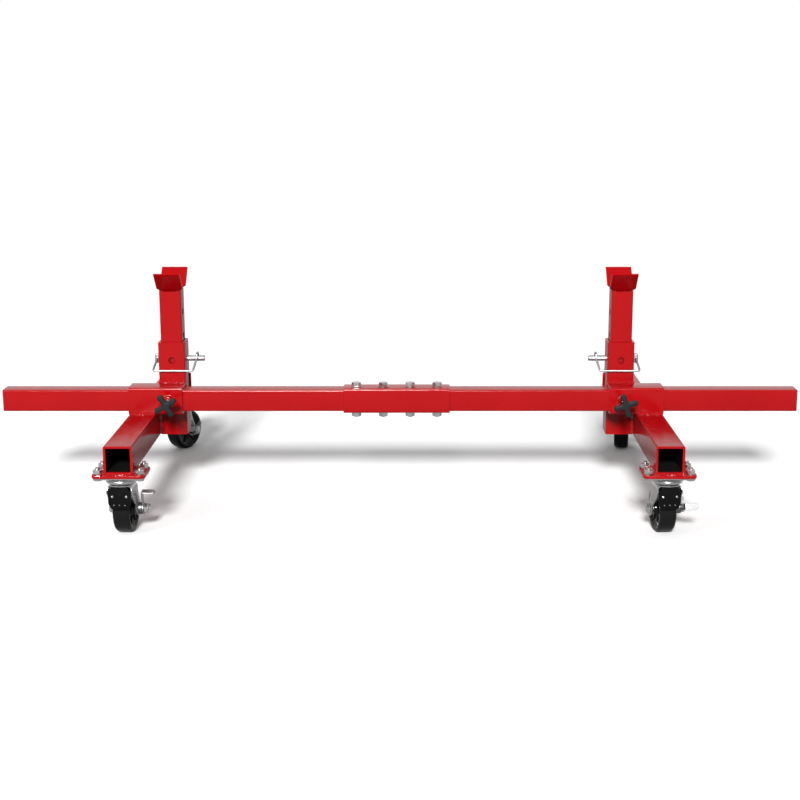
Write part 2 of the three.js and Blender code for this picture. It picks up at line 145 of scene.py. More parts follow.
def inset(points, distance):
    """The outline moved inwards along its corners' mitres."""
    sign = 1 if area_of(points) > 0 else -1
    result = []
    for i, here in enumerate(points):
        before = Vector(here) - Vector(points[i - 1])
        after = Vector(points[(i + 1) % len(points)]) - Vector(here)
        n1 = Vector((-before.y, before.x)).normalized() * sign
        n2 = Vector((-after.y, after.x)).normalized() * sign
        mitre = (n1 + n2).normalized()
        reach = distance / max(0.35, mitre.dot(n2))
        result.append((here[0] + mitre.x * reach, here[1] + mitre.y * reach))
    return result


def plate(outline, thickness, edge, steps=3):
    """An outline in XY given a thickness along +Z, with rounded edges."""
    rings = []
    for base, direction in ((0, 1), (thickness, -1)):
        levels = range(steps + 1) if direction > 0 else range(steps, -1, -1)
        for k in levels:
            a = math.pi / 2 * k / steps
            z = base + direction * edge * (1 - math.cos(a))
            rings.append([(x, y, z) for x, y in inset(outline, edge * (1 - math.sin(a)))])
    return skin(rings)


def lathe(profile, segments, closed=False):
    """A (radius, z) profile turned about Z. An open profile is capped flat at both ends."""
    angles = [2 * math.pi * i / segments for i in range(segments)]
    return skin([[(r * math.cos(a), r * math.sin(a), z) for a in angles] for r, z in profile], closed)


def rod(radius, z0, z1, edge):
    profile = [(radius - edge, z0), (radius, z0 + edge), (radius, z1 - edge), (radius - edge, z1)]
    return lathe(profile, 48)


TO_X = Matrix(((0, 0, 1), (1, 0, 0), (0, 1, 0)))
TO_Y = Matrix(((1, 0, 0), (0, 0, 1), (0, -1, 0)))
TO_FRONT = Matrix(((1, 0, 0), (0, 0, -1), (0, 1, 0)))
TO_LEFT = Matrix(((0, 0, -1), (-1, 0, 0), (0, 1, 0)))
MIRRORED_TO_Y = Matrix(((1, 0, 0), (0, 0, 1), (0, 1, 0)))


def square_tube(low, high, axis, wall, radius, lip=0.45):
    """A tube that fills the box from low to high, open along the axis (0 x, 1 y, 2 z)."""
    u, v = [i for i in range(3) if i != axis]
    size_u, size_v = high[u] - low[u], high[v] - low[v]
    centre = (low + high) / 2
    inner_radius = max(radius - wall, 1.0)

    def ring(shrink, inner, place):
        less = 2 * (wall - shrink if inner else shrink)
        flat = round_rectangle(size_u - less, size_v - less, inner_radius if inner else radius)
        points = []
        for a, b in flat:
            p = [0.0, 0.0, 0.0]
            p[u], p[v], p[axis] = centre[u] + a, centre[v] + b, place
            points.append(p)
        return points

    start, end = low[axis], high[axis]
    outside = ((lip, start), (0, start + lip), (0, end - lip), (lip, end))
    rings = [ring(shrink, False, place) for shrink, place in outside]
    rings += [ring(shrink, True, place) for shrink, place in reversed(outside)]
    return skin(rings, closed=True)


def hexagon_reach(angle, flats):
    return flats / 2 / math.cos((angle + math.pi / 6) % (math.pi / 3) - math.pi / 6)


def hex_rings(flats, height, chamfer_low):
    """Rings up a hexagonal body whose corners are turned off at the top, and at the foot if chosen."""
    sides = 72
    angles = [2 * math.pi * i / sides for i in range(sides)]
    circle = flats * 0.475
    slope = math.tan(math.radians(30))

    def ring(reach, z):
        return [(reach(a) * math.cos(a), reach(a) * math.sin(a), z(a)) for a in angles]

    def drop(a):
        return (hexagon_reach(a, flats) - circle) * slope

    rings = []
    if chamfer_low:
        rings += [ring(lambda a: circle, lambda a: 0), ring(lambda a: hexagon_reach(a, flats), drop)]
    else:
        rings += [ring(lambda a: hexagon_reach(a, flats), lambda a: 0)]
    rings += [ring(lambda a: hexagon_reach(a, flats), lambda a: height - drop(a)),
              ring(lambda a: circle, lambda a: height)]
    return rings


def hex_head(flats, height):
    rings = hex_rings(flats, height, False)
    dish = [[(x * 0.9, y * 0.9, z - 0.25) for x, y, z in rings[-1]]]
    return skin(rings + dish)


def hex_nut(flats, height, bore):
    rings = hex_rings(flats, height, True)
    count = len(rings[0])
    angles = [2 * math.pi * i / count for i in range(count)]
    lip = 0.8
    for radius, z in ((bore + lip, height), (bore, height - lip), (bore, lip), (bore + lip, 0)):
        rings.append([(radius * math.cos(a), radius * math.sin(a), z) for a in angles])
    return skin(rings, closed=True)


def thread(radius, pitch, z0, z1, chamfer):
    """A screw thread with a turned-down tip at z1."""
    segments = 36
    depth = pitch * 0.5
    levels = max(4, round((z1 - z0) / pitch * 8))
    rings = []
    for k in range(levels + 1):
        z = z0 + (z1 - z0) * k / levels
        ring = []
        for i in range(segments):
            turn = (z / pitch - i / segments) % 1
            crest = 1 - abs(2 * turn - 1)
            reach = radius - depth * min(1, max(0, 1.25 - 1.5 * crest))
            reach = min(reach, radius - chamfer + (z1 - z) * 0.8)
            a = 2 * math.pi * i / segments
            ring.append((reach * math.cos(a), reach * math.sin(a), z))
        rings.append(ring)
    return skin(rings)


def washer(outer, inner, z0, thickness):
    edge, z1 = 0.35, z0 + thickness
    profile = [(inner + edge, z0), (outer - edge, z0), (outer, z0 + edge), (outer, z1 - edge),
               (outer - edge, z1), (inner + edge, z1), (inner, z1 - edge), (inner, z0 + edge)]
    return lathe(profile, 56, closed=True)


def filleted_path(points, radius, step):
    """Straight runs between the points with the corners bent to a radius."""
    pts = [Vector(p) for p in points]
    path = [pts[0]]
    for before, here, after in zip(pts, pts[1:], pts[2:]):
        a, b = (before - here), (after - here)
        angle = a.angle(b)
        if angle > math.pi - 0.02:
            continue
        reach = min(radius / math.tan(angle / 2), a.length * 0.48, b.length * 0.48)
        bend = reach * math.tan(angle / 2)
        a.normalize()
        b.normalize()
        centre = here + (a + b).normalized() * (bend / math.sin(angle / 2))
        first, last = here + a * reach - centre, here + b * reach - centre
        n = max(4, round(bend * (math.pi - angle) / step))
        for k in range(n + 1):
            path.append(centre + first.slerp(last, k / n) * bend)
    path.append(pts[-1])
    return path


def subdivided(path, step):
    """The same path with no run between points longer than the step."""
    dense = []
    for a, b in zip(path, path[1:]):
        count = max(1, round((b - a).length / step))
        dense += [a.lerp(b, k / count) for k in range(count)]
    return dense + [path[-1]]


def sweep(path, section):
    """section(i, side, up) gives the ring at point i of the path, from a frame carried along it."""
    tangents = []
    for i in range(len(path)):
        ahead = path[min(i + 1, len(path) - 1)] - path[max(i - 1, 0)]
        tangents.append(ahead.normalized())
    side = tangents[0].orthogonal().normalized()
    if abs(tangents[0].dot(UP)) < 0.9:
        side = tangents[0].cross(UP).normalized()
    rings = []
    for i, tangent in enumerate(tangents):
        side = (side - tangent * side.dot(tangent)).normalized()
        rings.append([path[i] + p for p in section(i, side, side.cross(tangent))])
    return skin(rings)


def wire(path, radius):
    """A round wire with softly rounded ends."""
    last, sides = len(path) - 1, 20

    def section(i, side, up):
        edge = min(i, last - i)
        r = radius * (1 if edge else 0.7)
        angles = [2 * math.pi * k / sides for k in range(sides)]
        return [side * (r * math.cos(a)) + up * (r * math.sin(a)) for a in angles]

    return sweep(path, section)


def weld(start, end, lean_a, lean_b, size, seed):
    """A fillet bead from start to end, lying in the corner between two faces. The leans are the
    directions along those faces, away from the corner."""
    rng = random.Random(seed)
    start, end = Vector(start), Vector(end)
    run = end - start
    steps = max(6, round(run.length / 0.8))
    ripple = rng.uniform(6.0, 8.5)
    a, b = Vector(lean_a).normalized(), Vector(lean_b).normalized()
    drift = [rng.uniform(-3, 3) for _ in range(3)]
    crests = [rng.uniform(0.25, 1.0) for _ in range(round(run.length / ripple) + 3)]
    rings = []
    for k in range(steps + 1):
        t = k / steps
        place = t * run.length
        stray = place + 0.9 * math.sin(place * 0.37 + drift[2])
        crest = crests[int((stray + ripple) / ripple) % len(crests)]
        wave = abs(math.sin(math.pi * stray / ripple)) ** 0.7 * crest
        slow = math.sin(place * 0.21 + drift[0]) * 0.25 + math.sin(place * 0.53 + drift[1]) * 0.15
        taper = min(1, 0.55 + place / 4, 0.55 + (run.length - place) / 4)
        reach = size * taper * (0.84 + 0.22 * wave + 0.14 * slow)
        bulge = reach * (0.50 + 0.20 * wave)
        centre = start + run * t
        ring = []
        for j in range(9):
            angle = math.pi / 2 * j / 8
            out = a * math.cos(angle) + b * math.sin(angle)
            radius = reach - (reach - bulge * 1.25) * math.sin(2 * angle) ** 1.2
            ring.append(centre + out * radius)
        ring.append(centre - (a + b) * 0.4)
        rings.append(ring)
    return skin(rings)


def spatter(points, normal, spread, count, seed):
    """Small droplets thrown beside a weld, stuck to a flat face with that normal."""
    rng = random.Random(seed)
    n = Vector(normal)
    turn = UP.rotation_difference(n).to_matrix()
    shapes = []
    for _ in range(count):
        a, b = rng.choice(points)
        along = Vector(a).lerp(Vector(b), rng.random())
        off = Vector([max(-1.5, min(1.5, rng.gauss(0, 1))) for _ in range(3)])
        off -= n * off.dot(n)
        radius = rng.uniform(0.45, 1.15)
        dome = ((0.95, 0.25), (0.7, 0.6), (0.25, 0.8))
        profile = [(radius, -0.2)] + [(radius * across, radius * up) for across, up in dome]
        shapes.append(moved(lathe(profile, 10), along + off * spread, turn))
    return merged(shapes)


# ---------------------------------------------------------------- pieces

def solid_object(name, shape):
    mesh = bpy.data.meshes.new(name)
    mesh.from_pydata(shape[0], [], shape[1])
    work = bmesh.new()
    work.from_mesh(mesh)
    bmesh.ops.recalc_face_normals(work, faces=work.faces)
    work.to_mesh(mesh)
    work.free()
    obj = bpy.data.objects.new(name, mesh)
    bpy.context.scene.collection.objects.link(obj)
    return obj


def apply_modifiers(obj):
    graph = bpy.context.evaluated_depsgraph_get()
    made = bpy.data.meshes.new_from_object(obj.evaluated_get(graph))
    old = obj.data
    obj.modifiers.clear()
    obj.data = made
    made.name = obj.name
    bpy.data.meshes.remove(old)


def drill(obj, cutters):
    for i, shape in enumerate(cutters):
        cutter = solid_object(f"cutter_{i}", shape)
        cut = obj.modifiers.new(f"cut_{i}", "BOOLEAN")
        cut.operation = "DIFFERENCE"
        cut.solver = "EXACT"
        cut.object = cutter
        apply_modifiers(obj)
        mesh = cutter.data
        bpy.data.objects.remove(cutter)
        bpy.data.meshes.remove(mesh)


def add_piece(name, shape, finish, body, stands_for=(), holes=(), place=None, crease=35):
    """Makes a visible piece from a shape in millimetres, with its holes cut, riding on a body."""
    obj = solid_object(name, shape)
    drill(obj, holes)
    mesh = obj.data
    mesh.transform(Matrix.Scale(MM, 4) @ (place or Matrix.Identity(4)))
    mesh.shade_smooth()
    mesh.set_sharp_from_angle(angle=math.radians(crease))
    mesh.materials.clear()
    mesh.materials.append(finish["material"])
    if stands_for:
        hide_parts(*stands_for)
    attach(obj, body)


def bored(radius, centre, axis, length=200):
    """A drill through centre along an axis (0 x, 1 y, 2 z)."""
    turn = {0: TO_X, 1: TO_Y, 2: None}[axis]
    return moved(lathe([(radius, -length / 2), (radius, length / 2)], 48), centre, turn)


# ---------------------------------------------------------------- finishes

def shader_of(name):
    material = bpy.data.materials.new(name)
    material.use_nodes = True
    return material, material.node_tree, material.node_tree.nodes["Principled BSDF"]


def add_node(tree, kind, sockets=None):
    made = tree.nodes.new(kind)
    for key, value in (sockets or {}).items():
        made.inputs[key].default_value = value
    return made


def noise(tree, scale, detail, roughness=0.5, stretch=None):
    """Solid noise fixed to the piece, scale in cycles per metre."""
    place = add_node(tree, "ShaderNodeTexCoord")
    source = place.outputs["Object"]
    if stretch:
        mapping = add_node(tree, "ShaderNodeMapping", {"Scale": stretch})
        tree.links.new(source, mapping.inputs["Vector"])
        source = mapping.outputs["Vector"]
    made = add_node(tree, "ShaderNodeTexNoise", {"Scale": scale, "Detail": detail, "Roughness": roughness})
    tree.links.new(source, made.inputs["Vector"])
    return made.outputs["Fac"]


def ramp(tree, factor, stops):
    made = add_node(tree, "ShaderNodeValToRGB")
    elements = made.color_ramp.elements
    while len(elements) < len(stops):
        elements.new(0.5)
    for element, (position, colour) in zip(elements, stops):
        element.position = position
        element.color = (*colour, 1)
    tree.links.new(factor, made.inputs["Fac"])
    return made.outputs["Color"]


def spread(tree, factor, low, high, start=0.3, end=0.7):
    made = add_node(tree, "ShaderNodeMapRange",
                    {"From Min": start, "From Max": end, "To Min": low, "To Max": high})
    tree.links.new(factor, made.inputs["Value"])
    return made.outputs["Result"]


def bump(tree, shader, layers):
    """layers: (height output, depth in metres, strength), one on top of the other."""
    normal = None
    for height, depth, strength in layers:
        made = add_node(tree, "ShaderNodeBump", {"Distance": depth, "Strength": strength})
        tree.links.new(height, made.inputs["Height"])
        if normal:
            tree.links.new(normal, made.inputs["Normal"])
        normal = made.outputs["Normal"]
    tree.links.new(normal, shader.inputs["Normal"])


def red_powder_coat(name, rough_low, rough_high, peel, lumps, gloss=0.3):
    material, tree, shader = shader_of(name)
    deep, bright, warm = (0.285, 0.0008, 0.0020), (0.305, 0.0010, 0.0024), (0.318, 0.0014, 0.0028)
    patches = ramp(tree, noise(tree, 7, 4), [(0.3, deep), (0.52, bright), (0.75, warm)])
    tree.links.new(patches, shader.inputs["Base Color"])
    tree.links.new(spread(tree, noise(tree, 38, 5), rough_low, rough_high), shader.inputs["Roughness"])
    shader.inputs["Specular IOR Level"].default_value = gloss
    bump(tree, shader, [(noise(tree, 620, 2), 0.00006, peel), (noise(tree, 95, 2), 0.0002, lumps)])
    return {"material": material, "slot": "red_paint"}


def plated_steel(name, dark, light, rough_low, rough_high, scratch=0.25):
    material, tree, shader = shader_of(name)
    shader.inputs["Metallic"].default_value = 1.0
    worn = tuple(c * 0.92 for c in light)
    tone = ramp(tree, noise(tree, 46, 5, 0.6), [(0.25, dark), (0.6, light), (0.85, worn)])
    tree.links.new(tone, shader.inputs["Base Color"])
    rough = spread(tree, noise(tree, 130, 6, 0.65), rough_low, rough_high)
    tree.links.new(rough, shader.inputs["Roughness"])
    bump(tree, shader, [(noise(tree, 900, 3, 0.6, (1, 1, 0.12)), 0.00008, scratch),
                        (noise(tree, 160, 3), 0.0002, 0.12)])
    return {"material": material, "slot": "zinc"}


def moulded_plastic(name, slot, colour, rough_low, rough_high, grain_scale, grain, gloss=0.3):
    material, tree, shader = shader_of(name)
    dusty = tuple(c * 1.7 + 0.004 for c in colour)
    tone = ramp(tree, noise(tree, 30, 5, 0.6), [(0.3, colour), (0.62, colour), (0.85, dusty)])
    tree.links.new(tone, shader.inputs["Base Color"])
    tree.links.new(spread(tree, noise(tree, 85, 5, 0.6), rough_low, rough_high), shader.inputs["Roughness"])
    shader.inputs["Specular IOR Level"].default_value = gloss
    bump(tree, shader, [(noise(tree, grain_scale, 4, 0.6), 0.00015, grain),
                        (noise(tree, 60, 2), 0.0003, 0.10)])
    return {"material": material, "slot": slot}


PAINT = red_powder_coat("red_powder_coat", 0.13, 0.22, 0.22, 0.05)
WELD_PAINT = red_powder_coat("red_powder_coat_on_welds", 0.10, 0.20, 0.4, 0.5, 0.7)
SPATTER = red_powder_coat("red_powder_coat_on_spatter", 0.04, 0.09, 0.2, 0.1, 1.0)
ZINC = plated_steel("bright_zinc", (0.56, 0.565, 0.58), (0.76, 0.76, 0.755), 0.16, 0.30)
SATIN = plated_steel("satin_zinc", (0.36, 0.365, 0.38), (0.50, 0.50, 0.50), 0.36, 0.50)
STAMPED = plated_steel("stamped_zinc", (0.46, 0.465, 0.475), (0.66, 0.66, 0.655), 0.20, 0.38, 0.4)
DARK_STEEL = plated_steel("oiled_dark_steel", (0.10, 0.10, 0.105), (0.22, 0.22, 0.225), 0.30, 0.5, 0.5)
# near-black finish: painted shade on hole walls, and bare steel darkened with painted shade inside the leg
BARE_AND_PAINTED_SHADE = moulded_plastic("bare_steel_and_painted_shade", "red_paint", (0.006, 0.005, 0.005), 0.6, 0.8, 300, 0.4, 0.1)
KNOB = moulded_plastic("black_knob_plastic", "knob", (0.010, 0.012, 0.013), 0.42, 0.60, 1500, 0.35, 0.2)
WHEEL = moulded_plastic("black_caster_wheel", "caster_wheel", (0.004, 0.004, 0.0045), 0.10, 0.24, 420, 0.06)
SHOE = moulded_plastic("black_brake_shoe", "caster_wheel", (0.003, 0.003, 0.0034), 0.16, 0.30, 800, 0.2,
                       0.14)


# ---------------------------------------------------------------- crossbar

TUBE_WALL, BAR_RADIUS = 3.0, 3.6
BOLT_RADIUS, BOLT_FLATS, BOLT_PITCH = 6.0, 19.0, 1.75
JOINER_WASHER = 2.2


def build_crossbar():
    bolt_centres = [middle_of(f"joiner_bolt_{i}") for i in range(1, 5)]
    for side in SIDES:
        low, high = box_of(f"bar_{side}")
        holes = [bored(BOLT_RADIUS + 0.5, c, 2) for c in bolt_centres if low.x < c.x < high.x]
        shape = square_tube(low, high, 0, TUBE_WALL, BAR_RADIUS)
        add_piece(f"{side}_bar_tube", shape, PAINT, "crossbar", [f"bar_{side}"], holes)
    low, high = box_of("joiner_sleeve")
    holes = [bored(BOLT_RADIUS + 0.5, c, 2) for c in bolt_centres]
    shape = square_tube(low, high, 0, TUBE_WALL, BAR_RADIUS + 0.6, 0.7)
    add_piece("joiner_tube", shape, PAINT, "crossbar", ["joiner_sleeve"], holes)
    for i in range(1, 5):
        build_joiner_bolt(i, low.z, high.z)


def build_joiner_bolt(i, joiner_bottom, joiner_top):
    centre = middle_of(f"joiner_bolt_{i}")
    bolt_low, bolt_high = box_of(f"joiner_bolt_{i}")
    nut_low, nut_high = box_of(f"joiner_nut_{i}")
    turn = Matrix.Rotation(math.radians(23 * i + 8), 3, "Z")
    base = Vector((centre.x, centre.y, 0))
    seat = joiner_top + 0.1
    head_z = seat + JOINER_WASHER + 0.05
    head = moved(hex_head(BOLT_FLATS, bolt_high.z - head_z), base + UP * head_z, turn)
    shank = moved(rod(BOLT_RADIUS - 0.05, nut_high.z, head_z + 1, 0.1), base)
    tip = thread(BOLT_RADIUS - 0.1, BOLT_PITCH, 0, nut_high.z - bolt_low.z, 1.2)
    tip = moved(tip, base + UP * nut_high.z, Matrix.Rotation(math.pi, 3, "X"))
    add_piece(f"joiner_hex_bolt_{i}", merged([head, shank, tip]), ZINC, "crossbar", [f"joiner_bolt_{i}"])
    low_seat = joiner_bottom - 0.1 - JOINER_WASHER
    for place, z in (("top", seat), ("low", low_seat)):
        ring = washer(12, BOLT_RADIUS + 0.3, z, JOINER_WASHER)
        add_piece(f"joiner_{place}_washer_{i}", moved(ring, base), STAMPED, "crossbar")
    nut = hex_nut(BOLT_FLATS, low_seat - 0.05 - nut_low.z, BOLT_RADIUS - 0.2)
    nut = moved(nut, base + UP * nut_low.z, turn)
    add_piece(f"joiner_hex_nut_{i}", nut, ZINC, "crossbar", [f"joiner_nut_{i}"])


# ---------------------------------------------------------------- cradle: welded frame

CARRIAGE_WALL, CARRIAGE_RADIUS = 5.0, 4.2
CLAMP_BORE, PIN_BORE = 6.4, 7.5


def build_cradle_frame(side):
    body = f"{side}_carriage"
    sleeve, leg, socket = (box_of(f"{side}_{n}") for n in ("slide_sleeve", "leg_tube", "post_socket"))
    outward = JOINTS[f"{side}_pin_pull"]["axis"][0]
    bar = box_of(f"bar_{side}")
    centre = middle_of(f"{side}_post_socket")
    axis_z = (bar[0].z + bar[1].z) / 2
    sleeve_half = sleeve[1].z - axis_z
    axis_y = (bar[0].y + bar[1].y) / 2
    face_y = axis_y - sleeve_half
    screw = middle_of(f"{side}_clamp_screw")

    low, high = Vector(sleeve[0]), Vector(sleeve[1])
    low.y = face_y
    shape = square_tube(low, high, 0, CARRIAGE_WALL, CARRIAGE_RADIUS)
    add_piece(f"{side}_slide_tube", shape, PAINT, body, [f"{side}_slide_sleeve"],
              [bored(CLAMP_BORE, (screw.x, face_y, axis_z), 1, 24)])
    boss_length = face_y - sleeve[0].y
    outwards = TO_Y @ Matrix.Rotation(math.pi, 3, "X")
    boss = moved(hex_nut(24, boss_length, CLAMP_BORE), (screw.x, face_y, axis_z), outwards)
    add_piece(f"{side}_clamp_nut", boss, PAINT, body)
    ring = [weld_ring_point(screw.x, face_y, axis_z, 13.6, a) for a in range(0, 361, 8)]
    add_piece(f"{side}_clamp_nut_weld", bead_along(ring, 2.4, 31), WELD_PAINT, body)

    shape = square_tube(*leg, 1, CARRIAGE_WALL, CARRIAGE_RADIUS)
    add_piece(f"{side}_cross_leg", shape, PAINT, body, [f"{side}_leg_tube"])
    # a thin liner inside the leg: the inside is bare steel, and its near-black tone is painted shade deep in
    # the tube
    inside = Vector((CARRIAGE_WALL, 4.0, CARRIAGE_WALL))
    liner = square_tube(leg[0] + inside, leg[1] - inside, 1, 0.3, 1.6, 0.1)
    add_piece(f"{side}_leg_bare_wall_and_painted_shade", liner, BARE_AND_PAINTED_SHADE, body)
    pin_z = joint_point(f"{side}_bail_lift").z
    holes = [bored(PIN_BORE, (centre.x, centre.y, pin_z), axis) for axis in (0, 1)]
    shape = square_tube(*socket, 2, CARRIAGE_WALL, 3.8)
    add_piece(f"{side}_socket_tube", shape, PAINT, body, [f"{side}_post_socket"], holes)

    # a dark ring on the wall of the socket's front hole: painted shade inside the hole
    rim = lathe([(6.7, 0.3), (7.4, 0.3), (7.4, 4.7), (6.7, 4.7)], 40, closed=True)
    rim = moved(rim, (centre.x, socket[0].y, pin_z), TO_Y)
    add_piece(f"{side}_socket_hole_painted_shade_ring", rim, BARE_AND_PAINTED_SHADE, body)

    gusset = box_of(f"{side}_gusset_plate")
    inner, outer = centre.x - outward * 34, centre.x + outward * 74
    corners = [(inner, gusset[0].z, 2), (outer, gusset[0].z, 2),
               (centre.x + outward * 31, gusset[1].z - 11, 12), (centre.x + outward * 24, gusset[1].z, 3),
               (inner, gusset[1].z, 3)]
    flat = plate(rounded_outline(corners), gusset[1].y - gusset[0].y, 0.8)
    upright = moved(flat, (0, gusset[1].y, 0), TO_FRONT)
    add_piece(f"{side}_gusset", upright, PAINT, body, [f"{side}_gusset_plate"])
    build_cradle_welds(side, body, outward, sleeve, leg, socket, face_y)


def weld_ring_point(x, y, z, radius, degrees):
    a = math.radians(degrees)
    return Vector((x + radius * math.cos(a), y, z + radius * math.sin(a)))


def bead_along(path, radius, seed):
    """A round weld bead along a path, with the ripples of its puddles."""
    rng = random.Random(seed)
    phase = rng.uniform(0, 3)
    distances = [0.0]
    for a, b in zip(path, path[1:]):
        distances.append(distances[-1] + (b - a).length)

    def section(i, side, up):
        wave = abs(math.sin(math.pi * distances[i] / 2.6 + phase))
        r = radius * (0.86 + 0.14 * wave)
        return [side * (r * math.cos(a)) + up * (r * math.sin(a))
                for a in (2 * math.pi * k / 12 for k in range(12))]

    return sweep(path, section)


def build_cradle_welds(side, body, outward, sleeve, leg, socket, face_y):
    """Fillet beads where the tubes meet, each with the spatter that shows around it."""
    o = outward
    out, inn = Vector((o, 0, 0)), Vector((-o, 0, 0))
    front, back = Vector((0, -1, 0)), Vector((0, 1, 0))
    leg_outer = leg[1].x if o > 0 else leg[0].x
    leg_inner = leg[0].x if o > 0 else leg[1].x
    sock_inner = socket[0].x if o > 0 else socket[1].x
    top, shelf = sleeve[1].z, leg[1].z
    back_y = sleeve[1].y
    seams = [
        ((leg_outer - o * 1, face_y, shelf), (leg_inner + o * 1, face_y, shelf), front, UP, 5.5),
        ((leg_outer - o * 1, back_y, shelf), (leg_inner + o * 6, back_y, shelf), back, UP, 5.5),
        ((leg_inner + o * 1, back_y, top), (sock_inner + o * 1, back_y, top), front, UP, 5.0),
        ((leg_inner, socket[0].y + 1, shelf), (leg_inner, socket[1].y - 1, shelf), out, UP, 5.0),
    ]
    shapes = [weld(*seam, 7 * i + (3 if o > 0 else 11)) for i, seam in enumerate(seams)]
    # the socket's front and back faces against the leg's inner side, below the shelf
    for y, lean in ((socket[0].y, front), (socket[1].y, back)):
        shapes.append(weld((leg_inner, y, socket[0].z + 2), (leg_inner, y, shelf - 2), lean, inn, 4.5,
                           40 + round(y)))
    # the sleeve's inner end against the socket's front face
    x = sock_inner + o * 0.5
    shapes.append(weld((x, back_y, sleeve[0].z + 3), (x, back_y, top - 3), inn, front, 3.2, 51))
    gusset = box_of(f"{side}_gusset_plate")
    y = gusset[1].y
    shapes.append(weld((leg_outer - o * 14, y, shelf), (leg_inner + o * 2, y, shelf), back, UP, 4.5, 61))
    add_piece(f"{side}_frame_welds", merged(shapes), WELD_PAINT, body, crease=60)

    face = socket[0].y
    strips = [
        ((leg_outer - o * 12, face_y, shelf + 6), (leg_inner, face_y, shelf + 6), front, 5, 46),
        ((leg_outer - o * 12, face_y - 11, shelf), (leg_inner + o * 12, face_y - 11, shelf), UP, 6, 40),
        ((leg_inner, back_y - 7, top), (sock_inner + o * 10, back_y - 7, top), UP, 4.5, 38),
        ((leg_inner - o * 11, face, top + 6), (sock_inner + o * 11, face, top + 6), front, 4, 30),
    ]
    drops = [spatter([strip[:2]], *strip[2:], 71 + i) for i, strip in enumerate(strips)]
    add_piece(f"{side}_weld_spatter", merged(drops), SPATTER, body, crease=60)


# ---------------------------------------------------------------- cradle: post, saddle, pin, bail

POST_WALL = 3.0


def build_post(side):
    body = f"{side}_height_post"
    low, high = box_of(f"{side}_height_post")
    centre = (low + high) / 2
    pin_z = joint_point(f"{side}_bail_lift").z
    sink, rise = (travel / MM for travel in JOINTS[f"{side}_post_height"]["range_m"])
    pitch = rise
    hole_heights = [pin_z - rise + pitch * i for i in range(1 + round((rise - sink) / pitch))]
    holes = [bored(PIN_BORE, (centre.x, centre.y, z), 0) for z in hole_heights]
    shape = square_tube(low, high, 2, POST_WALL, 3.2)
    add_piece(f"{side}_inner_post", shape, PAINT, body, [f"{side}_height_post"], holes)
    # dark rings on the walls of the post's side holes: painted shade inside the holes
    rims = []
    for z in hole_heights:
        for x in (low.x + 0.4, high.x - 2.8):
            rim = lathe([(7.2, 0), (7.45, 0), (7.45, 2.4), (7.2, 2.4)], 40, closed=True)
            rims.append(moved(rim, (x, centre.y, z), TO_X))
    add_piece(f"{side}_post_hole_painted_shade_rings", merged(rims), BARE_AND_PAINTED_SHADE, body)
    build_saddle(side, body, low, high)


def build_saddle(side, body, post_low, post_high):
    """One bent plate: a flat seat on the post with a cheek leaning out at the front and the back."""
    low, high = box_of(f"{side}_saddle")
    centre = (low + high) / 2
    thick = 4.5
    half_width, neck = (high.x - low.x) / 2, (post_high.x - post_low.x) / 2
    lean = math.radians(45)
    tip_y, tip_z = (high.y - low.y) / 2, high.z - thick * math.sin(lean) - low.z
    base_half = tip_y - tip_z / math.tan(lean)
    outer = [(0, -tip_y, tip_z), (0, -base_half, 0), (0, base_half, 0), (0, tip_y, tip_z)]
    dense = subdivided(filleted_path(outer, 9, 1.0), 2.5)
    rings = []
    for i, p in enumerate(dense):
        ahead = (dense[min(i + 1, len(dense) - 1)] - dense[max(i - 1, 0)]).normalized()
        inward = Vector((0, -ahead.z, ahead.y))
        width = neck + (half_width - neck) * min(1, max(0, (p.z - 0.6) / 3.4))
        edge = 0.7
        end = edge if i in (0, len(dense) - 1) else 0
        flat = [(width - edge, end), (width, edge + end),
                (width, thick - edge - end), (width - edge, thick - end)]
        ring = [p + Vector((x, 0, 0)) + inward * d for x, d in flat]
        ring += [p + Vector((-x, 0, 0)) + inward * d for x, d in reversed(flat)]
        rings.append(ring)
    shape = moved(skin(rings), (centre.x, centre.y, low.z))
    add_piece(f"{side}_saddle_plate", shape, PAINT, body, [f"{side}_saddle"], crease=40)
    z = post_high.z - 0.4
    half_bead = 16
    beads = []
    for sign in (-1, 1):
        y = centre.y + sign * neck
        beads.append(weld((centre.x - half_bead, y, z), (centre.x + half_bead, y, z), (0, sign, 0), -UP, 2.6,
                          81 + sign))
    add_piece(f"{side}_saddle_weld", merged(beads), WELD_PAINT, body, crease=60)


def build_pin(side):
    """A plain pin whose outer end is flattened into an upright eye for the bail."""
    body = f"{side}_lock_pin"
    low, high = box_of(f"{side}_lock_pin")
    eye = joint_point(f"{side}_bail_lift")
    outward = JOINTS[f"{side}_pin_pull"]["axis"][0]
    inner = low.x if outward > 0 else high.x
    length = abs(eye.x - inner) - 3.2
    profile = [(5.4, 0), (6.2, 0.5), (6.45, 1.3), (6.45, length - 0.6), (5.9, length)]
    shape = moved(lathe(profile, 56), (inner, eye.y, eye.z), TO_X if outward > 0 else TO_LEFT)
    add_piece(f"{side}_pin_rod", shape, SATIN, body, [f"{side}_lock_pin"])
    width, height, thick = 11.0, 22.8, 8.8
    flat = plate(round_rectangle(width, height, 5.3, 8), thick, 1.6, 4)
    head = moved(flat, (eye.x, eye.y + thick / 2, eye.z), TO_FRONT)
    add_piece(f"{side}_pin_eye", head, SATIN, body, holes=[bored(2.8, eye, 1, 40)])


